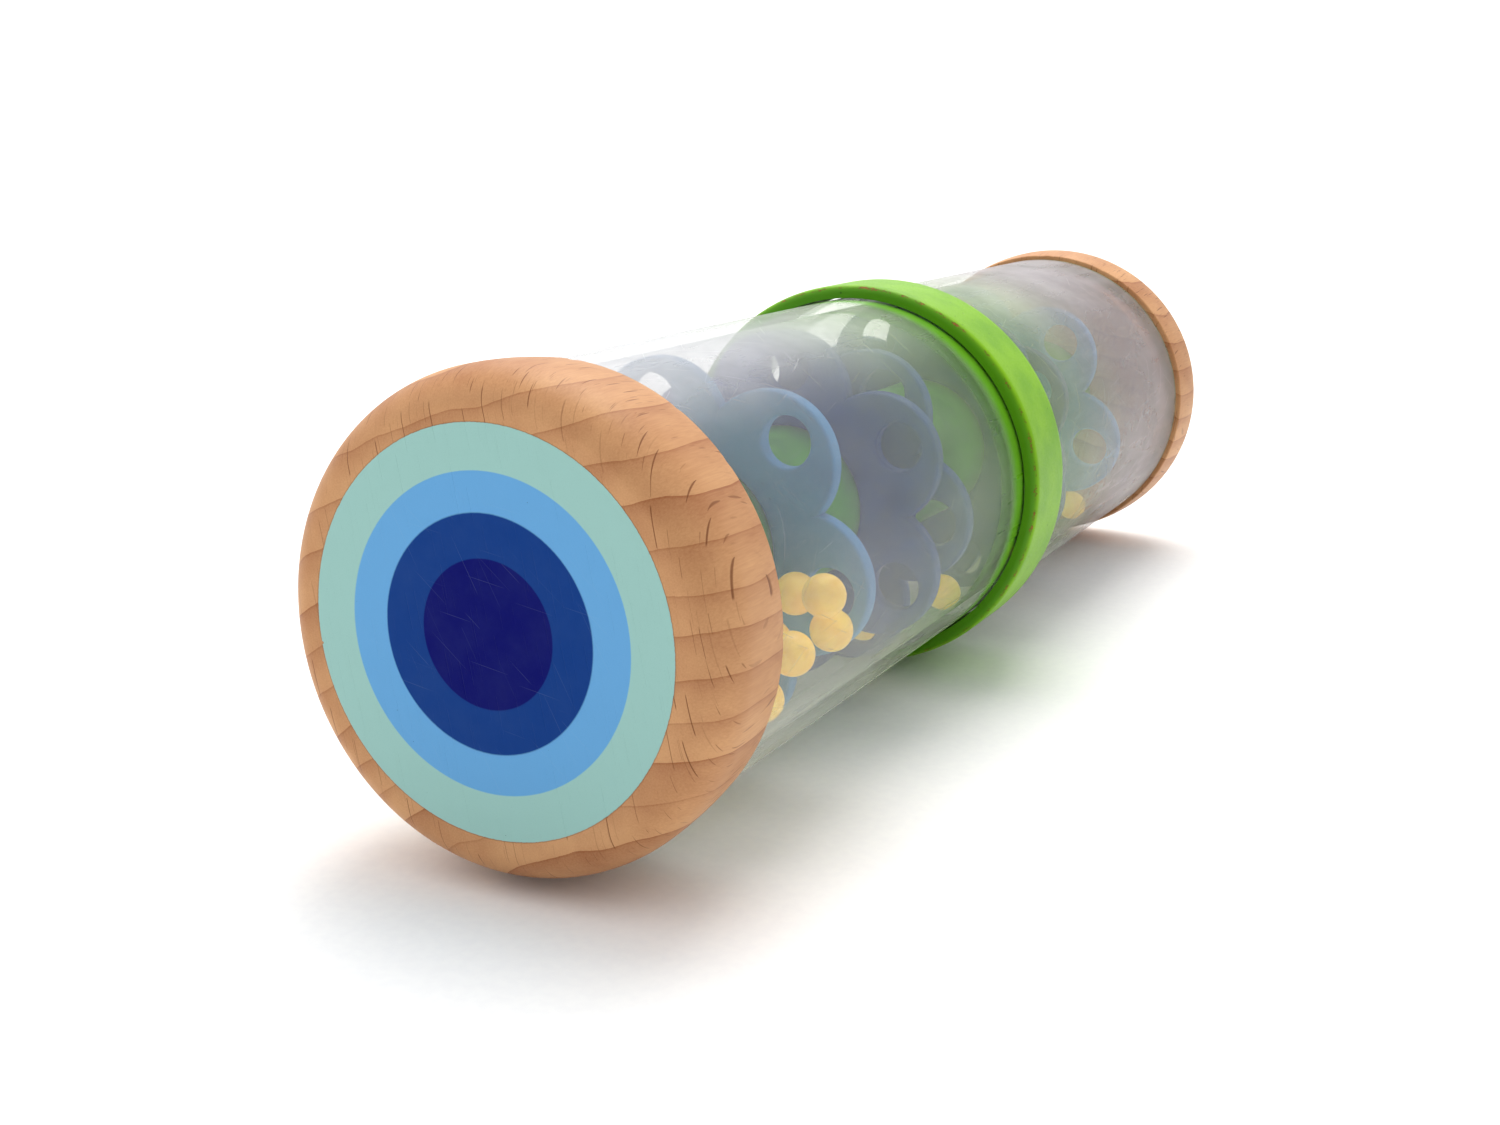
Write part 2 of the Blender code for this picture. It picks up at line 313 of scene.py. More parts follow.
def reach(start, direction, centre, radius, far):
    """How far a ray goes from start before it meets a circle, at the near or the far crossing:
    the roots of |start + s direction - centre| = radius."""
    offset = start - centre
    along = direction @ offset
    root = np.sqrt(np.maximum(along**2 - (offset @ offset - radius**2), 0))
    outside = along**2 < offset @ offset - radius**2
    return np.where(outside, np.inf, -along + (root if far else -root))


def sector_rays():
    """Directions out of a lobe's hole, closer together near the sector's corners, which are met
    exactly: the two valleys between lobes and the two ends of the bore's arc."""
    hole = np.array([HOLE_CENTRE_R, 0.0])
    half = np.pi / LOBES
    valley = LOBE_CENTRE_R * np.cos(half)
    valley += np.sqrt(LOBE_R**2 - (LOBE_CENTRE_R * np.sin(half)) ** 2)
    side = np.array([np.cos(half), np.sin(half)])
    up = [np.arctan2(*(side * r - hole)[::-1]) for r in (valley, PLATE_BORE_R)]
    stops = [-up[0], up[0], up[1], 2 * np.pi - up[1], 2 * np.pi - up[0]]
    counts = (56, 14, 26, 14)
    return np.concatenate(
        [np.linspace(a, b, n, endpoint=False) for a, b, n in zip(stops, stops[1:], counts)]
    )


def plate_sector():
    """One lobe of a plate as a grid of points and how far each is from an edge. Point (u, v) lies
    on the ray at angle u out of the hole's centre, a share v of the way from the hole's wall to
    the sector's boundary, which is the nearest of the lobe's arc, the bore and the two sides."""
    angle = sector_rays()
    ray = np.stack([np.cos(angle), np.sin(angle)], axis=1)
    hole = np.array([HOLE_CENTRE_R, 0.0])
    lobe = np.array([LOBE_CENTRE_R, 0.0])
    stops = [reach(hole, ray, lobe, LOBE_R, True)]
    inner = reach(hole, ray, np.zeros(2), PLATE_BORE_R, False)
    stops.append(np.where(inner > 0, inner, np.inf))
    for sign in (-1, 1):
        normal = np.array([-np.sin(np.pi / LOBES), sign * np.cos(np.pi / LOBES)])
        across = ray @ normal
        with np.errstate(divide="ignore"):
            meets = -(hole @ normal) / across
        stops.append(np.where(across > 1e-9, meets, np.inf))
    boundary = np.min(stops, axis=0)
    ease = PLATE_EASE * (1 - np.cos(np.linspace(0, np.pi / 2, 6)))
    length = (boundary - HOLE_R)[:, None]
    inside = HOLE_R + ease[None, :] + 0 * length
    middle = HOLE_R + PLATE_EASE + (length - 2 * PLATE_EASE) * np.linspace(0, 1, 8)[None, 1:-1]
    outside = HOLE_R + length - ease[None, ::-1]
    distance = np.concatenate([inside, middle, outside], axis=1)
    points = hole + distance[..., None] * ray[:, None, :]
    from_lobe = LOBE_R - np.linalg.norm(points - lobe, axis=-1)
    from_bore = np.linalg.norm(points, axis=-1) - PLATE_BORE_R
    from_hole = distance - HOLE_R
    return points, np.clip(np.min([from_lobe, from_bore, from_hole], axis=0), 0, None)


def make_plate(node, material):
    """A flower plate with rounded edges. Its faces rise with the distance d from the nearest
    edge as a quarter circle does, h(d) = sqrt(e^2 - (e - d)^2), and a straight wall joins them."""
    points, depth = plate_sector()
    lack = np.clip(PLATE_EASE - depth, 0, None)
    rise = np.sqrt(np.maximum(PLATE_EASE**2 - lack**2, 0)) + PLATE_THICK / 2 - PLATE_EASE
    low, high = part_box(node)
    middle = (low.y + high.y) / 2
    rays, steps = depth.shape
    index = np.arange(rays * steps).reshape(rays, steps)
    after = np.roll(index, -1, axis=0)
    front = np.stack([index[:, :-1], index[:, 1:], after[:, 1:], after[:, :-1]], -1).reshape(-1, 4)
    count = rays * steps
    hole_wall = np.stack([index[:, 0], after[:, 0], after[:, 0] + count, index[:, 0] + count], -1)
    open_end = (depth[:, -1] < 1e-7) & (np.roll(depth[:, -1], -1) < 1e-7)
    rim = index[open_end, -1], after[open_end, -1]
    edge_wall = np.stack([rim[0], rim[1], rim[1] + count, rim[0] + count], -1)
    sector_faces = np.concatenate([front, front + count, hole_wall, edge_wall])
    all_points, all_faces = [], []
    for lobe in range(LOBES):
        turn = math.radians(PLATE_TURNS[node]) + 2 * np.pi * lobe / LOBES
        x = points[..., 0] * np.cos(turn) - points[..., 1] * np.sin(turn)
        z = points[..., 0] * np.sin(turn) + points[..., 1] * np.cos(turn) + AXIS_Z
        for side in (-1, 1):
            all_points.append(np.stack([x, middle + side * rise, z], axis=-1).reshape(-1, 3))
        all_faces.append(sector_faces + 2 * count * lobe)
    worn_width = 0.0005
    wear = np.tile(np.exp(-depth.ravel() / worn_width), 2 * LOBES)
    piece = make_piece(
        node + "_eased", np.concatenate(all_points), np.concatenate(all_faces), material, wear
    )
    return settle(piece, node)


def make_bead(number, material):
    """A moulded bead: a sphere r(a) = R (b + s exp(-(a / w)^2)) with a faint seam of height s
    where the latitude a is near 0, turned to an angle of its own."""
    node = f"bead_{number:02d}"
    low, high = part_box(node)
    centre = (np.array(low) + np.array(high)) / 2
    radius = (high.z - low.z) / 2
    rows, columns = 33, 48
    latitude = np.radians(np.linspace(-90, 90, rows))
    longitude = np.arange(columns) * 2 * np.pi / columns
    a, b = np.meshgrid(latitude, longitude, indexing="ij")
    body, seam, seam_width = 0.985, 0.012, 0.035
    r = radius * (body + seam * close_to(a, 0, seam_width))
    local = np.stack([r * np.cos(a) * np.cos(b), r * np.cos(a) * np.sin(b), r * np.sin(a)], -1)
    first_seed = 40
    rng = np.random.default_rng(first_seed + number)
    turn, _ = np.linalg.qr(rng.normal(size=(3, 3)))
    points = local.reshape(-1, 3) @ turn + centre
    piece = make_piece(node + "_moulded", points, grid_faces(rows, columns), material)
    return settle(piece, node)


# ---------------------------------------------------------------- materials


def paint(red, green, blue):
    """A colour given as 0 to 255 in display values, as linear red, green, blue and alpha."""
    shares = np.array([red, green, blue]) / 255
    linear = np.where(shares <= 0.04045, shares / 12.92, ((shares + 0.055) / 1.055) ** 2.4)
    return (*linear.tolist(), 1.0)


class Nodes:
    """Short ways to add and join the nodes of one tree. Any value may be a socket."""

    def __init__(self, tree):
        self.tree = tree

    def feed(self, socket, value):
        if isinstance(value, bpy.types.NodeSocket):
            self.tree.links.new(value, socket)
        else:
            socket.default_value = value

    def add(self, kind, inputs=None, **settings):
        node = self.tree.nodes.new("ShaderNode" + kind)
        for name, value in settings.items():
            setattr(node, name, value)
        for key, value in (inputs or {}).items():
            self.feed(node.inputs[key], value)
        return node

    def math(self, operation, *values):
        node = self.add("Math", operation=operation)
        for socket, value in zip(node.inputs, values):
            self.feed(socket, value)
        return node.outputs[0]

    def vector(self, operation, first, second=(0, 0, 0)):
        node = self.add("VectorMath", operation=operation)
        self.feed(node.inputs[0], first)
        self.feed(node.inputs[1], second)
        return node.outputs["Value" if operation == "LENGTH" else "Vector"]

    def stretched(self, vector, scale, location=(0, 0, 0), rotation=(0, 0, 0)):
        inputs = {"Vector": vector, "Scale": scale, "Location": location, "Rotation": rotation}
        return self.add("Mapping", inputs).outputs["Vector"]

    def split(self, vector):
        return self.add("SeparateXYZ", {"Vector": vector}).outputs

    def join(self, x, y, z):
        return self.add("CombineXYZ", {"X": x, "Y": y, "Z": z}).outputs[0]

    def step(self, value, start, end, low=0.0, high=1.0):
        """A smooth step from low at start to high at end."""
        inputs = {"Value": value, "From Min": start, "From Max": end, "To Min": low, "To Max": high}
        return self.add("MapRange", inputs, interpolation_type="SMOOTHSTEP").outputs["Result"]

    def noise(self, vector, scale=1.0, detail=2.0, roughness=0.5):
        inputs = {"Vector": vector, "Scale": scale, "Detail": detail, "Roughness": roughness}
        return self.add("TexNoise", inputs).outputs["Fac"]

    def mix(self, factor, first, second, blend="MIX"):
        node = self.add("Mix", data_type="RGBA", blend_type=blend)
        for index, value in ((0, factor), (6, first), (7, second)):
            self.feed(node.inputs[index], value)
        return node.outputs[2]

    def blend(self, factor, first, second):
        """A plain number part of the way from first to second."""
        node = self.add("Mix", data_type="FLOAT")
        for index, value in ((0, factor), (2, first), (3, second)):
            self.feed(node.inputs[index], value)
        return node.outputs[0]

    def bump(self, height, distance, strength=1.0):
        inputs = {"Height": height, "Distance": distance, "Strength": strength}
        return self.add("Bump", inputs).outputs["Normal"]


def new_group(name, inputs, outputs):
    """An empty node group with these sockets, as (group, nodes, its inputs, its output node).
    inputs maps a name to (kind, default), and outputs a name to its kind."""
    group = bpy.data.node_groups.new(name, "ShaderNodeTree")
    for socket, (kind, default) in inputs.items():
        made = group.interface.new_socket(socket, in_out="INPUT", socket_type="NodeSocket" + kind)
        if default is not None:
            made.default_value = default
    for socket, kind in outputs.items():
        group.interface.new_socket(socket, in_out="OUTPUT", socket_type="NodeSocket" + kind)
    given = group.nodes.new("NodeGroupInput").outputs
    return group, Nodes(group), given, group.nodes.new("NodeGroupOutput")


def ray_flecks(nodes, vector, cell, half_width, half_length):
    """Short dark strokes of wood rays, one in each cell, thin across X, pointed along Y and
    standing tall along Z. The stroke narrows from its middle as 1 - (y / half_length)^2."""
    scaled = nodes.stretched(vector, tuple(1 / side for side in cell))
    voronoi = nodes.add("TexVoronoi", {"Vector": scaled, "Scale": 1.0, "Randomness": 0.9})
    away = nodes.split(nodes.vector("SUBTRACT", scaled, voronoi.outputs["Position"]))
    along = nodes.math("DIVIDE", nodes.math("ABSOLUTE", away[1]), half_length / cell[1])
    taper = nodes.math("SUBTRACT", 1.0, nodes.math("MULTIPLY", along, along))
    width = nodes.math("MULTIPLY", nodes.math("MAXIMUM", taper, 0.001), half_width / cell[0])
    across = nodes.math("DIVIDE", nodes.math("ABSOLUTE", away[0]), width)
    tall = nodes.step(nodes.math("ABSOLUTE", away[2]), 0.46, 0.36)
    stroke = nodes.math("MULTIPLY", nodes.step(across, 1.0, 0.3), tall)
    chance = nodes.split(voronoi.outputs["Color"])[0]
    return nodes.math("MULTIPLY", stroke, nodes.step(chance, 0.2, 0.85))


def beech_group():
    """Beech: yearly rings round a pith far below the piece, each with a tone of its own and a
    dark late edge, dark ray flecks, and fine fibres along Y. Coordinates are in millimetres."""
    group, nodes, given, out = new_group(
        "beech_grain",
        {
            "Vector": ("Vector", None),
            "Light": ("Color", paint(205, 155, 109)),
            "Dark": ("Color", paint(150, 91, 57)),
            "Ring Width": ("Float", 4.2),
            "Fleck": ("Float", 0.8),
        },
        {"Color": "Color", "Height": "Float", "Roughness": "Float"},
    )
    vector = given["Vector"]
    wander = nodes.noise(nodes.stretched(vector, (0.07, 0.03, 0.07)), 1.0, 2.0)
    waver = nodes.noise(nodes.stretched(vector, (0.9, 0.12, 0.9)), 1.0, 2.0)
    pith = (14.0, 0.0, -96.0)
    axes = nodes.split(nodes.vector("SUBTRACT", vector, pith))
    from_pith = nodes.vector("LENGTH", nodes.join(axes[0], 0.0, axes[2]))
    bent = nodes.math("MULTIPLY_ADD", wander, 4.0, from_pith)
    bent = nodes.math("MULTIPLY_ADD", waver, 0.16, bent)
    years = nodes.math("DIVIDE", bent, given["Ring Width"])
    season = nodes.math("FRACT", years)
    year = nodes.add("TexWhiteNoise", {"W": nodes.math("FLOOR", years)}, noise_dimensions="1D")
    late = nodes.math("POWER", season, 2.4)
    edge = nodes.math("MULTIPLY", nodes.step(season, 0.93, 0.985), nodes.step(season, 1.0, 0.992))
    fibre = nodes.noise(nodes.stretched(vector, (5.0, 0.22, 5.0)), 1.0, 3.0, 0.6)
    cloud = nodes.noise(nodes.stretched(vector, (0.22, 0.10, 0.22)), 1.0, 3.0, 0.55)
    tone = nodes.math("MULTIPLY", late, 0.38)
    tone = nodes.math("MULTIPLY_ADD", year.outputs["Value"], 0.28, tone)
    tone = nodes.math("MULTIPLY_ADD", fibre, 0.55, tone)
    tone = nodes.math("MULTIPLY_ADD", cloud, 0.70, tone)
    tone = nodes.math("MULTIPLY_ADD", edge, 0.15, tone)
    tone = nodes.math("SUBTRACT", tone, 0.55)
    colour = nodes.mix(tone, given["Light"], given["Dark"])
    broad = ray_flecks(nodes, vector, (1.3, 3.8, 5.0), 0.08, 1.5)
    moved = nodes.vector("ADD", vector, (0.4, 1.1, 2.3))
    small = ray_flecks(nodes, moved, (0.9, 2.3, 2.5), 0.05, 0.8)
    small = nodes.math("MULTIPLY", small, 0.6)
    fleck = nodes.math("MULTIPLY", nodes.math("MAXIMUM", broad, small), given["Fleck"])
    colour = nodes.mix(fleck, colour, paint(112, 62, 32))
    height = nodes.math("MULTIPLY_ADD", fleck, -0.6, nodes.math("MULTIPLY", fibre, 0.25))
    nodes.feed(out.inputs["Color"], colour)
    nodes.feed(out.inputs["Height"], height)
    nodes.feed(out.inputs["Roughness"], nodes.math("MULTIPLY_ADD", cloud, 0.16, 0.40))
    return group


def specks_group():
    """Small dark specks or pores scattered one to a cell, where a chance allows, in millimetres."""
    group, nodes, given, out = new_group(
        "specks",
        {
            "Vector": ("Vector", None),
            "Spacing": ("Float", 2.0),
            "Size": ("Float", 0.09),
            "Amount": ("Float", 0.4),
        },
        {"Mask": "Float"},
    )
    even = nodes.math("DIVIDE", 1.0, given["Spacing"])
    scaled = nodes.add("VectorMath", {0: given["Vector"], "Scale": even}, operation="SCALE")
    voronoi = nodes.add("TexVoronoi", {"Vector": scaled.outputs[0], "Scale": 1.0})
    reach_of = nodes.math("MULTIPLY", voronoi.outputs["Distance"], given["Spacing"])
    chance = nodes.split(voronoi.outputs["Color"])
    size = nodes.math("MULTIPLY", given["Size"], nodes.step(chance[1], 0.0, 1.0, 0.4, 1.3))
    dot = nodes.step(nodes.math("DIVIDE", reach_of, size), 1.2, 0.7)
    kept = nodes.math("LESS_THAN", chance[0], given["Amount"])
    nodes.feed(out.inputs["Mask"], nodes.math("MULTIPLY", dot, kept))
    return group


def scratches_group():
    """Fine straight scratches: strokes one to a cell, thin across and long along, in two
    directions, in millimetres."""
    group, nodes, given, out = new_group(
        "scratches", {"Vector": ("Vector", None), "Amount": ("Float", 0.5)}, {"Mask": "Float"}
    )
    total = None
    for turn, cell in ((0.5, (2.6, 9.0, 9.0)), (-0.9, (3.4, 7.0, 7.0)), (1.4, (4.5, 6.0, 6.0))):
        turned_to = nodes.stretched(given["Vector"], (1, 1, 1), rotation=(turn, 0.3, turn))
        stroke = ray_flecks(nodes, turned_to, cell, 0.04, 2.4)
        total = stroke if total is None else nodes.math("MAXIMUM", total, stroke)
    nodes.feed(out.inputs["Mask"], nodes.math("MULTIPLY", total, given["Amount"]))
    return group


def wear_group():
    """Where paint has rubbed off: a worn edge broken up by noise at two sizes."""
    group, nodes, given, out = new_group(
        "edge_wear",
        {"Vector": ("Vector", None), "Edge": ("Float", 0.0), "Amount": ("Float", 0.5)},
        {"Mask": "Float"},
    )
    coarse = nodes.noise(given["Vector"], 0.6, 3.0, 0.6)
    fine = nodes.noise(given["Vector"], 4.0, 3.0, 0.6)
    worn = nodes.math("MULTIPLY", given["Edge"], given["Amount"])
    worn = nodes.math("ADD", worn, nodes.math("MULTIPLY", nodes.math("ADD", coarse, fine), 0.5))
    nodes.feed(out.inputs["Mask"], nodes.step(worn, 0.80, 0.90))
    return group


def use_group(nodes, group, **inputs):
    node = nodes.add("Group", node_tree=group)
    for name, value in inputs.items():
        nodes.feed(node.inputs[name.replace("_", " ")], value)
    return node.outputs


def new_material(name, **plain):
    """A material with its Principled shader, as (material, nodes, shader, the point in
    millimetres from the middle of the tube)."""
    material = bpy.data.materials.new(name)
    material.use_nodes = True
    nodes = Nodes(material.node_tree)
    shader = material.node_tree.nodes["Principled BSDF"]
    for socket, value in plain.items():
        shader.inputs[socket.replace("_", " ")].default_value = value
    place = nodes.add("TexCoord").outputs["Object"]
    point = nodes.stretched(place, (1000, 1000, 1000), (0, 0, -1000 * AXIS_Z))
    return material, nodes, shader, point


def print_ramp(nodes, share):
    """The printed rings by a share from 0 in the middle to 1 at the print's edge. Each change of
    colour takes up twice the blur."""
    blur = 0.00004
    ramp = nodes.add("ValToRGB", {"Fac": share})
    stops = ramp.color_ramp.elements
    stops[0].position, stops[0].color = 0, paint(*PRINT_RINGS[0][1])
    stops[1].position, stops[1].color = 1, paint(*PRINT_RINGS[-1][1])
    for (edge, before), (_, after) in zip(PRINT_RINGS, PRINT_RINGS[1:]):
        for offset, colour in ((-blur, before), (blur, after)):
            stops.new((edge + offset) / PRINT_R).color = paint(*colour)
    return ramp.outputs[0]


def beech_material(name, end, tilt, shift):
    """Lacquered beech with a target printed on the end face: rings of colour by the distance
    from the axis, a ragged outer edge, and pores that show through the print. end is -1 or +1,
    and tilt and shift give each cap a piece of wood of its own."""
    material, nodes, shader, point = new_material(
        name, Specular_IOR_Level=0.06, Coat_Roughness=0.35
    )
    grain_at = nodes.stretched(point, (1, 1, 1), shift, (0, math.radians(tilt), 0))
    grain = use_group(nodes, BEECH, Vector=grain_at)

    axes = nodes.split(point)
    radius = nodes.vector("LENGTH", nodes.join(axes[0], 0.0, axes[2]))
    ragged = nodes.noise(point, 2.2, 3.0, 0.65)
    uneven = nodes.math("SUBTRACT", ragged, 0.5)
    nick = nodes.noise(point, 0.9, 2.0)
    outer = nodes.math("MULTIPLY_ADD", uneven, 0.14, radius)
    outer = nodes.math("MULTIPLY_ADD", nodes.step(nick, 0.68, 0.74), 0.22, outer)
    soft = nodes.math("MULTIPLY_ADD", uneven, 0.05, radius)
    ink = print_ramp(nodes, nodes.math("DIVIDE", soft, 1000 * PRINT_R))

    fade = nodes.noise(point, 0.25, 4.0, 0.6)
    fine = nodes.noise(point, 6.0, 2.0, 0.6)
    ink = nodes.mix(nodes.step(fade, 0.3, 0.8, 0.0, 0.012), ink, paint(170, 196, 200))
    ink = nodes.mix(nodes.step(fine, 0.55, 0.85, 0.0, 0.10), ink, paint(20, 40, 70))
    specks = use_group(nodes, SPECKS, Vector=point, Spacing=1.7, Size=0.085, Amount=0.32)["Mask"]
    ink = nodes.mix(specks, ink, paint(26, 34, 60))
    chips = use_group(nodes, SCRATCHES, Vector=point, Amount=0.55)["Mask"]
    ink = nodes.mix(nodes.math("MULTIPLY", chips, 0.10), ink, paint(190, 205, 210))

    face_at = 1000 * HALF_LENGTH
    outward = nodes.math("MULTIPLY", axes[1], float(end))
    face = nodes.step(outward, face_at - 0.5, face_at - 0.3)
    edge_at = 1000 * PRINT_R
    printed = nodes.math("MULTIPLY", nodes.step(outer, edge_at + 0.03, edge_at - 0.03), face)
    rim_line = nodes.step(outer, edge_at + 0.16, edge_at + 0.02, 0.0, 0.5)
    rim_line = nodes.math("MULTIPLY", rim_line, face)
    wood = nodes.mix(rim_line, grain["Color"], paint(120, 76, 48))
    nodes.feed(shader.inputs["Base Color"], nodes.mix(printed, wood, ink))
    nodes.feed(shader.inputs["Roughness"], nodes.blend(printed, grain["Roughness"], 0.5))
    nodes.feed(shader.inputs["Coat Weight"], nodes.blend(printed, 0.18, 0.0))
    height = nodes.math("MULTIPLY_ADD", printed, 0.5, nodes.math("MULTIPLY", grain["Height"], 0.5))
    height = nodes.math("MULTIPLY_ADD", specks, -0.5, height)
    nodes.feed(shader.inputs["Normal"], nodes.bump(height, 0.00012, 0.7))
    return material


def painted_material(name, colour, deep, edge_amount, bare=BARE_WOOD, half_width=None):
    """Satin paint on turned wood: brushed unevenness, specks, and bare wood where the edges have
    rubbed through, with a dark line of dirt round each bare patch. With a half width in
    millimetres, the faces that far from the middle of the tube take a deeper green, which is
    painted shade on the band's side faces."""
    material, nodes, shader, point = new_material(name, Specular_IOR_Level=0.2)
    cloud = nodes.noise(point, 0.12, 4.0, 0.6)
    stipple = nodes.noise(point, 3.5, 3.0, 0.6)
    coat = nodes.mix(nodes.step(cloud, 0.3, 0.75), paint(*colour), paint(*deep))
    coat = nodes.mix(nodes.step(stipple, 0.5, 0.8, 0.0, 0.35), coat, paint(*deep))
    if half_width:
        from_middle = nodes.math("ABSOLUTE", nodes.split(point)[1])
        # painted shade: the band's side faces get a darker green, as if turned away from the light
        painted_side_shade = nodes.step(from_middle, half_width - 0.65, half_width - 0.05, 0.0, 0.9)
        coat = nodes.mix(painted_side_shade, coat, paint(74, 138, 4))
    specks = use_group(nodes, SPECKS, Vector=point, Spacing=1.3, Size=0.11, Amount=0.4)["Mask"]
    dirt = paint(*(0.35 * part for part in deep))
    coat = nodes.mix(nodes.math("MULTIPLY", specks, 0.7), coat, dirt)

    edge = nodes.add("Attribute", attribute_name="wear").outputs["Fac"]
    worn = use_group(nodes, WEAR, Vector=point, Edge=edge, Amount=edge_amount)["Mask"]
    grain = use_group(nodes, BEECH, Vector=point, Light=paint(*bare), Dark=paint(112, 60, 26))
    halfway = nodes.math("MULTIPLY", worn, nodes.math("SUBTRACT", 1.0, worn))
    surface = nodes.mix(worn, coat, grain["Color"])
    surface = nodes.mix(nodes.math("MULTIPLY", halfway, 2.4), surface, dirt)
    nodes.feed(shader.inputs["Base Color"], surface)
    satin = nodes.step(stipple, 0.2, 0.8, 0.37, 0.52)
    nodes.feed(shader.inputs["Roughness"], nodes.math("MULTIPLY_ADD", worn, 0.22, satin))
    height = nodes.math("MULTIPLY_ADD", worn, -0.8, nodes.math("MULTIPLY", stipple, 0.5))
    height = nodes.math("MULTIPLY_ADD", specks, -0.6, height)
    nodes.feed(shader.inputs["Normal"], nodes.bump(height, 0.00006, 0.4))
    return material


def tube_material():
    """Clear plastic gone slightly milky. Its opacity is a haze that grows towards the rear and
    the top and a little towards the bottom, broken by smudges, rubbed streaks, scratches and
    dust, and it closes up where the wall is seen edge on. The extra haze and paler milk to the
    rear and at the top are painted sheen, the lighter milk and haze towards the bottom are
    painted light, and the closing up edge on is partly painted reflection. Its colour turns
    green towards the caps, and towards the band as a painted reflection of the band's green,
    and a strip on each side of the band carries a painted reflection of the band's green."""
    material, nodes, shader, point = new_material("milky_clear_plastic")
    axes = nodes.split(point)
    from_middle = nodes.math("ABSOLUTE", axes[1])
    # painted sheen to the rear and at the top, painted light towards the bottom
    painted_rear_sheen = nodes.step(axes[1], -4.0, 26.0)
    painted_top_sheen = nodes.step(axes[2], 17.0, 25.5)
    painted_bottom_light = nodes.step(axes[2], 12.0, -22.0)
    band_edge, tube_end = 1000 * BAND_HIGH.y, 1000 * TUBE_HIGH.y
    # painted reflection: the band's green tints the tube's milk within 60 mm of the middle
    painted_green_reflection = nodes.step(from_middle, 60.0, 7.0, 0.0, 0.62)
    near_cap = nodes.step(from_middle, tube_end - 1.6, tube_end - 0.4, 0.0, 0.5)
    # painted reflection: a strip on each side of the band takes the band's green
    painted_band_reflection_strip = nodes.step(from_middle, band_edge + 7.5, band_edge + 1.5)

    # painted light: the milk is far lighter towards the bottom, and paler at the top and to the
    # rear
    milk = nodes.mix(painted_bottom_light, paint(154, 159, 164), paint(224, 227, 214))
    for share, colour in (
        (painted_top_sheen, (186, 187, 192)),
        (painted_rear_sheen, (178, 172, 176)),
        # painted reflection of the band's green
        (painted_green_reflection, (156, 196, 112)),
        (near_cap, (110, 160, 70)),
        # painted reflection of the band in the strip beside it
        (painted_band_reflection_strip, (104, 176, 20)),
    ):
        milk = nodes.mix(share, milk, paint(*colour))

    clear = 0.195
    # painted sheen and light: extra haze to the rear, at the top and a little towards the bottom
    haze = nodes.math("MULTIPLY_ADD", painted_rear_sheen, 0.13, clear)
    haze = nodes.math("MULTIPLY_ADD", painted_top_sheen, 0.22, haze)
    haze = nodes.math("MULTIPLY_ADD", painted_bottom_light, 0.04, haze)
    smudge = nodes.noise(nodes.stretched(point, (0.06, 0.04, 0.06)), 1.0, 4.0, 0.6)
    haze = nodes.math("MULTIPLY", haze, nodes.step(smudge, 0.25, 0.75, 0.75, 1.3))
    rubbed = nodes.noise(nodes.stretched(point, (0.5, 0.06, 0.5)), 1.0, 3.0, 0.6)
    haze = nodes.math("MULTIPLY_ADD", nodes.step(rubbed, 0.45, 0.8), 0.03, haze)
    scratch = use_group(nodes, SCRATCHES, Vector=point, Amount=0.6)["Mask"]
    haze = nodes.math("MULTIPLY_ADD", scratch, 0.30, haze)
    dust = use_group(nodes, SPECKS, Vector=point, Spacing=2.6, Size=0.07, Amount=0.35)["Mask"]
    haze = nodes.math("MULTIPLY_ADD", dust, 0.25, haze)
    facing = nodes.add("LayerWeight", {"Blend": 0.5}).outputs["Facing"]
    # partly painted reflection: more milk where the wall is seen edge on stands in for its grazing
    # gloss as well as the longer path through the wall
    edge_on = nodes.math("MULTIPLY", nodes.math("POWER", facing, 5.0), 0.55)
    haze = nodes.math("MAXIMUM", haze, edge_on)
    # painted reflection: the strip beside the band is made nearly opaque so its green shows
    haze = nodes.math("MAXIMUM", haze, nodes.math("MULTIPLY", painted_band_reflection_strip, 0.8))

    nodes.feed(shader.inputs["Base Color"], milk)
    nodes.feed(shader.inputs["Alpha"], haze)
    nodes.feed(shader.inputs["Roughness"], nodes.step(rubbed, 0.3, 0.8, 0.26, 0.42))
    return material


def bead_material():
    """Moulded yellow plastic, a little mottled, with rubbed spots. It gives off a little light of
    its own colour, which keeps it vivid behind the haze of the tube."""
    material, nodes, shader, point = new_material("yellow_moulded_plastic", Emission_Strength=0.3)
    mottle = nodes.noise(point, 0.5, 3.0, 0.6)
    fine = nodes.noise(point, 5.0, 2.0, 0.6)
    colour = nodes.mix(nodes.step(mottle, 0.3, 0.7), paint(255, 216, 74), paint(248, 196, 56))
    colour = nodes.mix(nodes.step(fine, 0.6, 0.85, 0.0, 0.3), colour, paint(196, 140, 40))
    nodes.feed(shader.inputs["Base Color"], colour)
    nodes.feed(shader.inputs["Emission Color"], colour)
    nodes.feed(shader.inputs["Roughness"], nodes.step(fine, 0.2, 0.8, 0.28, 0.42))
    nodes.feed(shader.inputs["Normal"], nodes.bump(fine, 0.00004, 0.5))
    return material


def floor_material():
    """Matte pale paper with the faintest tooth."""
    material, nodes, shader, point = new_material("pale_paper")
    tooth = nodes.noise(point, 0.8, 4.0, 0.6)
    colour = nodes.mix(nodes.step(tooth, 0.3, 0.7), paint(246, 246, 245), paint(243, 243, 243))
    nodes.feed(shader.inputs["Base Color"], colour)
    nodes.feed(shader.inputs["Roughness"], nodes.step(tooth, 0.2, 0.8, 0.85, 0.95))
    return material


# ---------------------------------------------------------------- surroundings


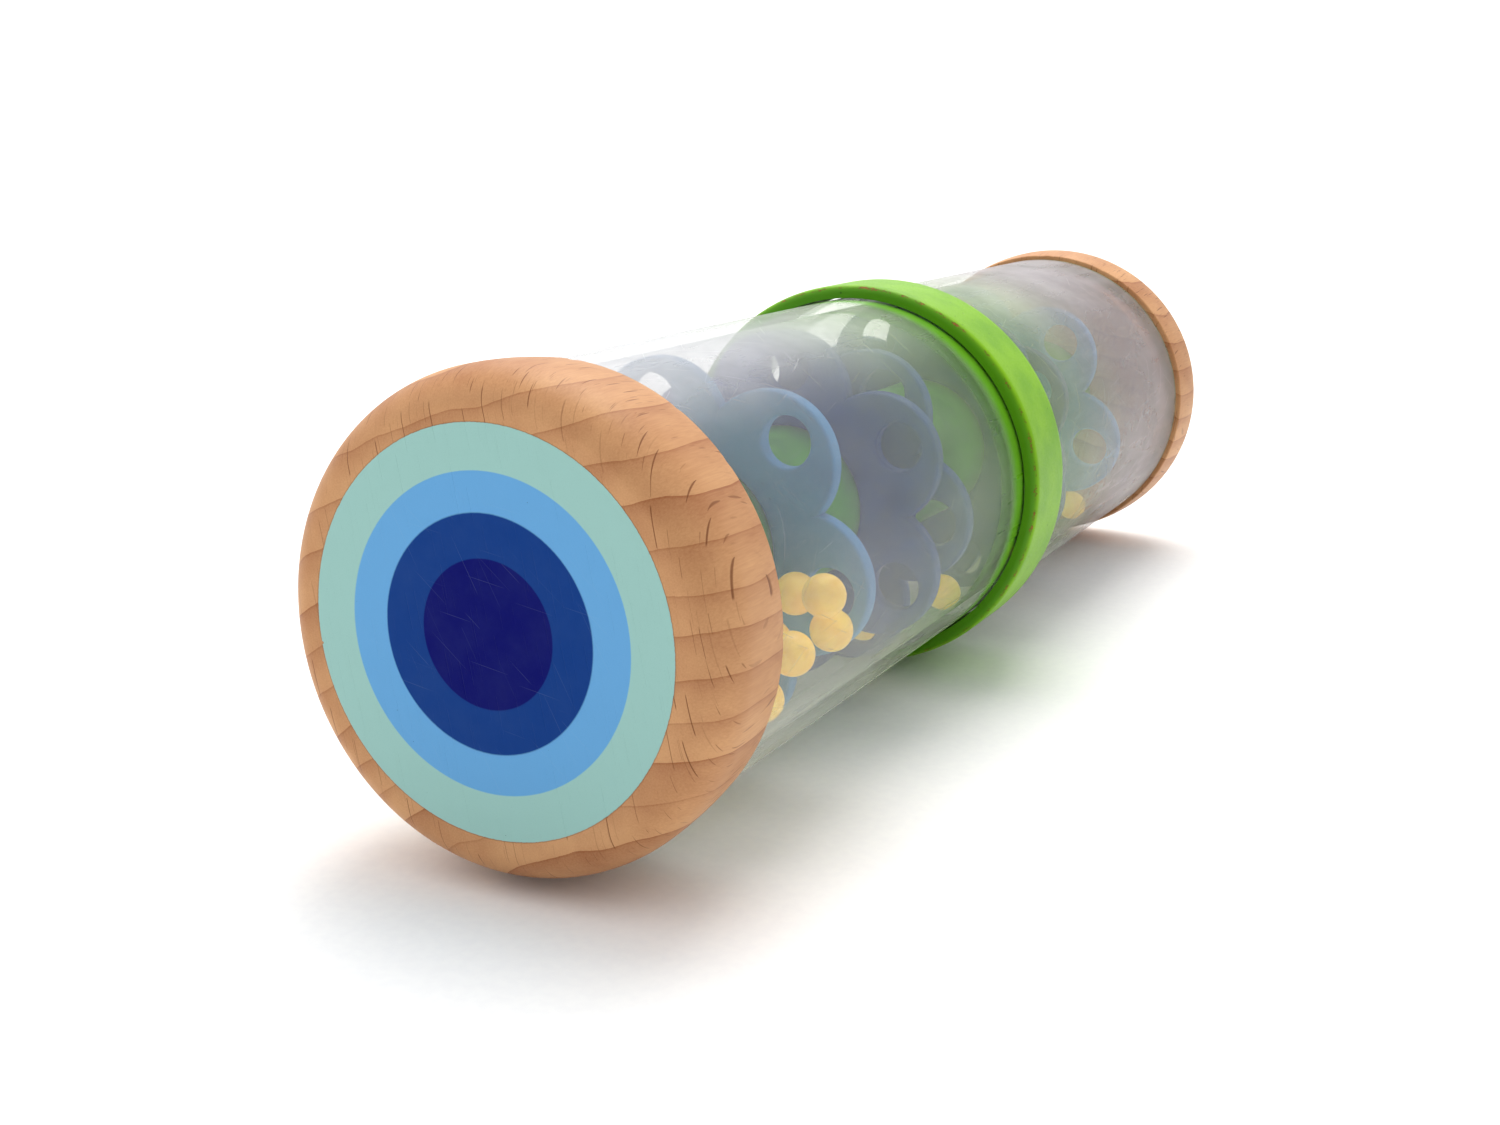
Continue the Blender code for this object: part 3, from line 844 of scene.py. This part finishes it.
def add_area(name, place, towards, size, power, colour):
    """A soft square light that faces a point."""
    lamp = bpy.data.lights.new(name, "AREA")
    lamp.size = size
    lamp.energy = power
    lamp.color = colour
    holder = bpy.data.objects.new(name, lamp)
    bpy.context.scene.collection.objects.link(holder)
    away = np.array(towards, float) - np.array(place, float)
    away /= np.linalg.norm(away)
    tilt = math.acos(-away[2])
    holder.location = place
    holder.rotation_euler = (tilt, 0, math.atan2(away[0], -away[1]) + math.pi)
    return holder


def make_studio():
    """A wide pale floor just under the toy, four soft lights, and a sky that is dim on one side
    and bright on the other as a light, but plain and pale where the camera sees it."""
    side, drop = 1.6, 0.0002
    corners = [(x * side, y * side, -drop) for x, y in ((-1, -1), (1, -1), (1, 1), (-1, 1))]
    mesh = bpy.data.meshes.new("floor")
    mesh.from_pydata(corners, [], [(0, 1, 2, 3)])
    mesh.materials.append(floor_material())
    floor = bpy.data.objects.new("floor", mesh)
    bpy.context.scene.collection.objects.link(floor)

    world = bpy.data.worlds.new("pale_sky")
    bpy.context.scene.world = world
    world.use_nodes = True
    nodes = Nodes(world.node_tree)
    pale, dim = (1.04, 1.04, 1.04, 1), (0.20, 0.205, 0.22, 1)
    way = nodes.split(nodes.add("TexCoord").outputs["Generated"])
    bright_side = nodes.math("MULTIPLY_ADD", way[1], 0.6, way[2])
    bright_side = nodes.math("MULTIPLY_ADD", way[0], -0.65, bright_side)
    graded = nodes.mix(nodes.step(bright_side, -0.8, 0.9), dim, pale)
    seen = nodes.add("LightPath").outputs["Is Camera Ray"]
    sky = world.node_tree.nodes["Background"]
    nodes.feed(sky.inputs["Color"], nodes.mix(seen, graded, pale))

    middle = (0, 0, AXIS_Z)
    add_area("key", (-0.1, 0.3, 0.95), middle, 0.7, 8.0, (1.0, 0.98, 0.95))
    add_area("side", (0.9, 0.1, 0.35), middle, 0.6, 0.5, (1.0, 0.99, 0.98))
    add_area("fill", (-0.6, -0.7, 0.6), middle, 0.9, 1.2, (0.97, 0.98, 1.0))
    add_area("wash", (-0.75, 1.35, 1.1), (-0.75, 1.35, 0.0), 1.4, 9.0, (1.0, 1.0, 1.0))


def make_camera():
    """A camera low and to the right of the front cap, level from side to side."""
    place = (0.0994, -0.2399, AXIS_Z + 0.0502)
    look_down, look_left = 9.84, 27.9
    lens = bpy.data.cameras.new("camera")
    lens.lens = 41.8
    lens.sensor_width = 36
    lens.shift_x = 0.028
    lens.shift_y = -0.086
    lens.clip_start = 0.01
    lens.clip_end = 50
    camera = bpy.data.objects.new("camera", lens)
    bpy.context.scene.collection.objects.link(camera)
    camera.location = place
    camera.rotation_euler = (math.radians(90 - look_down), 0, math.radians(look_left))
    bpy.context.scene.camera = camera
    bpy.context.scene.view_settings.view_transform = "Standard"


BODIES = frame["record"]["behaviour"]["bodies"]
BEECH = beech_group()
SPECKS = specks_group()
SCRATCHES = scratches_group()
WEAR = wear_group()

make_cap("front_cap", beech_material("printed_beech", -1, 12, (0, 0, 0)), -1, 3)
make_cap("rear_cap", beech_material("printed_beech_rear", 1, -8, (6, 31, 17)), 1, 8)
make_tube(tube_material())
make_band(
    painted_material(
        "worn_green_paint", (128, 182, 8), (106, 162, 4), 0.30, half_width=1000 * BAND_HIGH.y
    )
)
make_core(painted_material("core_green_paint", (84, 176, 14), (54, 136, 8), 0.0))

PLATE_PAINTS = {
    "light_blue": painted_material(
        "light_blue_paint", (90, 158, 206), (68, 132, 188), 0.10, bare=(150, 196, 224)
    ),
    "dark_blue": painted_material(
        "dark_blue_paint", (26, 62, 146), (16, 44, 116), 0.10, bare=(90, 124, 190)
    ),
}
for plate in PLATE_TURNS:
    shade = "light_blue" if plate.startswith("light") else "dark_blue"
    make_plate(plate, PLATE_PAINTS[shade])

BEADS = bead_material()
for bead in range(1, BEAD_COUNT + 1):
    make_bead(bead, BEADS)

make_studio()
make_camera()
